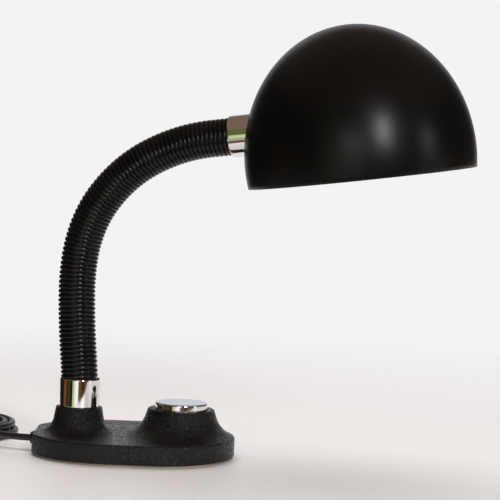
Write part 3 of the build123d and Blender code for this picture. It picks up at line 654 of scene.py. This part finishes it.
bmesh.ops.create_circle(plug_bm, cap_ends=True, radius=1.0, segments=40)
grow_tube(plug_bm, relief_placings)
shell = bmesh.ops.create_cube(plug_bm, size=1.0)["verts"]
shell_size = Matrix.Diagonal((plug_width, plug_height, plug_length, 1))
bmesh.ops.transform(plug_bm, matrix=Matrix.Translation((0, plug_rise, plug_middle)) @ shell_size, verts=shell)
nose = [v for v in shell if v.co.z > plug_middle]
bmesh.ops.scale(plug_bm, vec=(plug_nose_width / plug_width, 1, 1), verts=nose)
grip_faces = [f for f in plug_bm.faces if all(v in shell for v in f.verts) and abs(f.normal.y) > 0.9]
for face in grip_faces:
    bmesh.ops.inset_individual(plug_bm, faces=[face], thickness=grip_inset, depth=-grip_depth)
# Only the body's own edges are rounded: they lie past its back face and outside the relief's end
body_back, relief_half, relief_end = 0.0118, 0.0069, 0.0136
rims = [e for e in edges_over(plug_bm, 60.0) if all(len(f.verts) == 4 for f in e.link_faces)]
rims = [e for e in rims if min(v.co.z for v in e.verts) > body_back]
rims = [e for e in rims if all(abs(v.co.x) > relief_half or v.co.z > relief_end for v in e.verts)]
rounded(plug_bm, rims, plug_edge, 4)
bmesh.ops.transform(plug_bm, matrix=plug_place, verts=plug_bm.verts)
moulded_plug = piece("moulded_plug", plug_bm, [plug_black], "base", ["plug_body"], 35.0)

# CAD nodes that keep their shape take these finishes
kept = (
    (casting_black, ["base_casting"]),
    (zinc, ["base_cover", "cover_screws", "cord_clamp", "clamp_screws", "switch_nut"]),
    (zinc, ["lower_nipple", "lower_washer", "lower_nut", "upper_nipple", "upper_saddle", "upper_nut"]),
    (zinc, ["neck_core_%02d" % link for link in range(last_link + 1)]),
    (inner_plastic, ["terminal_block", "switch_body", "button_plunger"]),
    (lead_brown, ["mains_leads", "switch_leads", "neck_leads"]),
    (holder_black, ["holder_cap", "holder_body", "holder_ring"]),
    (brass, ["holder_shell", "holder_contact"]),
    (bulb_metal, ["bulb_cap"]),
    (cord_black, ["cord_inlet"]),
    (tie_black, ["cord_tie"]),
    (pin_metal, ["plug_pins"]),
)
for material, nodes in kept:
    for node in nodes:
        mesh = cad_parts[node].data
        mesh.materials.clear()
        mesh.materials.append(material)

# Stage: a pale table top that fades into a pale backdrop
table_pale, table_size = (0.8, 0.79, 0.795), 3.0
table_material, table, table_shader = finish_of("pale_table", table_pale, 0.42)
vary(table, table_shader, "Roughness", grain(table, 3.0, detail=3.0), 0.38, 0.46)
table_spot = add(table, "ShaderNodeTexCoord").outputs["Object"]


def table_cover(vector, gone, full):
    """The table's cover, from none at one length of a vector to full at another."""
    reach = add(table, "ShaderNodeVectorMath", operation="LENGTH")
    table.links.new(vector, reach.inputs[0])
    fade = add(table, "ShaderNodeMapRange", interpolation_type="SMOOTHSTEP", From_Min=gone, From_Max=full)
    table.links.new(reach.outputs["Value"], fade.inputs["Value"])
    return fade.outputs["Result"]


# The chrome reflects a table that ends near its front and left; the view shows one that fades out all round
corner_place = add(table, "ShaderNodeMapping", Location=(-0.087, 0.0, 0.0), Scale=(3.2, 2.6, 0.0))
table.links.new(table_spot, corner_place.inputs["Vector"])
past_corner = add(table, "ShaderNodeVectorMath", operation="MINIMUM")
table.links.new(corner_place.outputs["Vector"], past_corner.inputs[0])
table_rays = add(table, "ShaderNodeLightPath")
cover = add(table, "ShaderNodeMix", data_type="FLOAT")
table.links.new(table_rays.outputs["Is Camera Ray"], cover.inputs["Factor"])
table.links.new(table_cover(past_corner.outputs["Vector"], 1.02, 0.95), cover.inputs["A"])
table.links.new(table_cover(table_spot, 1.3, 0.25), cover.inputs["B"])
table.links.new(cover.outputs["Result"], table_shader.inputs["Alpha"])
table_bm = bmesh.new()
bmesh.ops.create_grid(table_bm, x_segments=1, y_segments=1, size=table_size)
table_mesh = bpy.data.meshes.new("table_top")
table_bm.to_mesh(table_mesh)
table_bm.free()
table_mesh.materials.append(table_material)
table_top = bpy.data.objects.new("table_top", table_mesh)
bpy.context.collection.objects.link(table_top)


# Soft lights
def soft_light(name, turn_deg, rise_deg, distance, size, power, colour, aim):
    """An area light at an angle round the lamp, facing a point."""
    lamp = bpy.data.lights.new(name, "AREA")
    lamp.shape = "RECTANGLE"
    lamp.size, lamp.size_y = size
    lamp.energy = power
    lamp.color = colour
    made = bpy.data.objects.new(name, lamp)
    turn, rise = radians(turn_deg), radians(rise_deg)
    way = Vector((sin(turn) * cos(rise), -cos(turn) * cos(rise), sin(rise)))
    made.location = Vector(aim) + way * distance
    made.rotation_euler = way.to_track_quat("Z", "Y").to_euler()
    bpy.context.collection.objects.link(made)
    return made


at_shade, at_table = (0.21, -0.1, 0.3), (0.05, 0.1, 0.1)
soft_light("window", 18.0, 21.0, 2.4, (0.32, 0.75), 27.0, (1.0, 0.97, 0.98), at_shade)
soft_light("wide_window", -12.0, 10.0, 2.6, (1.0, 0.6), 6.0, (1.0, 0.99, 0.98), at_shade)
soft_light("side_window", 65.0, 14.0, 2.6, (0.3, 0.6), 4.2, (0.9, 1.0, 0.95), at_shade)
overhead = soft_light("overhead", 165.0, 76.0, 2.4, (3.0, 2.4), 70.0, (1.0, 0.98, 0.97), at_table)
overhead.visible_glossy = False

# The room: the lamp reflects bands of colour, the view shows a plain pale backdrop
world = bpy.data.worlds.new("pale_room")
bpy.context.scene.world = world
world.use_nodes = True
room = world.node_tree
backdrop, surround = room.nodes["Background"], add(room, "ShaderNodeBackground")
room_way = add(room, "ShaderNodeTexCoord")
room_axes = add(room, "ShaderNodeSeparateXYZ")
room.links.new(room_way.outputs["Generated"], room_axes.inputs["Vector"])
room_turn = add(room, "ShaderNodeMath", operation="ARCTAN2")
room.links.new(room_axes.outputs["X"], room_turn.inputs[0])
room.links.new(room_axes.outputs["Y"], room_turn.inputs[1])
turn_share = add(room, "ShaderNodeMapRange", From_Min=-pi, From_Max=pi)
room.links.new(room_turn.outputs["Value"], turn_share.inputs["Value"])


def band(stops):
    """Colours by degrees round the horizon: 0 in front, 90 left, 180 behind, 270 right."""
    ramp = add(room, "ShaderNodeValToRGB")
    for _ in range(len(stops) - 2):
        ramp.color_ramp.elements.new(0.5)
    for element, (turn_deg, colour) in zip(ramp.color_ramp.elements, stops):
        element.position = turn_deg / 360.0
        element.color = (*colour, 1.0)
    room.links.new(turn_share.outputs["Result"], ramp.inputs["Fac"])
    return ramp.outputs["Color"]


def stacked(under, over, start, end):
    """Two colours of the room, one above the other, that meet between two heights."""
    share = add(room, "ShaderNodeMapRange", From_Min=start, From_Max=end)
    room.links.new(room_axes.outputs["Z"], share.inputs["Value"])
    mix = add(room, "ShaderNodeMix", data_type="RGBA")
    room.links.new(share.outputs["Result"], mix.inputs["Factor"])
    for colour, socket in ((under, mix.inputs["A"]), (over, mix.inputs["B"])):
        if isinstance(colour, tuple):
            socket.default_value = (*colour, 1.0)
        else:
            room.links.new(colour, socket)
    return mix.outputs["Result"]


white, pale, wall = (1.0, 0.99, 1.0), (0.75, 0.74, 0.72), (0.64, 0.66, 0.71)
dark, dim = (0.012, 0.011, 0.01), (0.035, 0.032, 0.03)
brown, umber = (0.156, 0.07, 0.026), (0.06, 0.034, 0.018)
green, olive = (0.5, 0.62, 0.25), (0.12, 0.13, 0.05)
grey_floor, warm_ceiling = (0.4, 0.39, 0.39), (0.19, 0.13, 0.095)
backdrop_pale = (0.9, 0.895, 0.905)
low_band = band(
    [
        (0, brown), (3, brown), (5, white), (20, white), (30, green), (37, green), (39, dark), (50, dark),
        (53, umber), (70, umber), (73, dark), (77, dark), (80, brown), (97, brown), (100, dark), (146, dark),
        (156, dark), (168, white), (200, white), (214, brown), (245, brown), (258, dark), (268, brown),
        (270, pale), (303, pale), (305, dark), (325, brown), (338, dark), (351, brown), (360, brown),
    ]
)
high_band = band(
    [
        (0, dim), (18, dim), (23, olive), (44, olive), (50, dim),
        (152, dim), (166, wall), (198, wall), (212, dim), (360, dim),
    ]
)
ground = stacked(brown, grey_floor, -0.5, -0.46)
below = stacked(ground, low_band, -0.28, -0.24)
around = stacked(below, high_band, 0.0, 0.05)
whole_room = stacked(around, warm_ceiling, 0.46, 0.6)
room.links.new(whole_room, surround.inputs["Color"])
backdrop.inputs["Color"].default_value = (*backdrop_pale, 1.0)
room_rays = add(room, "ShaderNodeLightPath")
choose = add(room, "ShaderNodeMixShader")
room.links.new(room_rays.outputs["Is Camera Ray"], choose.inputs["Fac"])
room.links.new(surround.outputs["Background"], choose.inputs[1])
room.links.new(backdrop.outputs["Background"], choose.inputs[2])
room.links.new(choose.outputs["Shader"], room.nodes["World Output"].inputs["Surface"])
bpy.context.scene.view_settings.view_transform = "Standard"
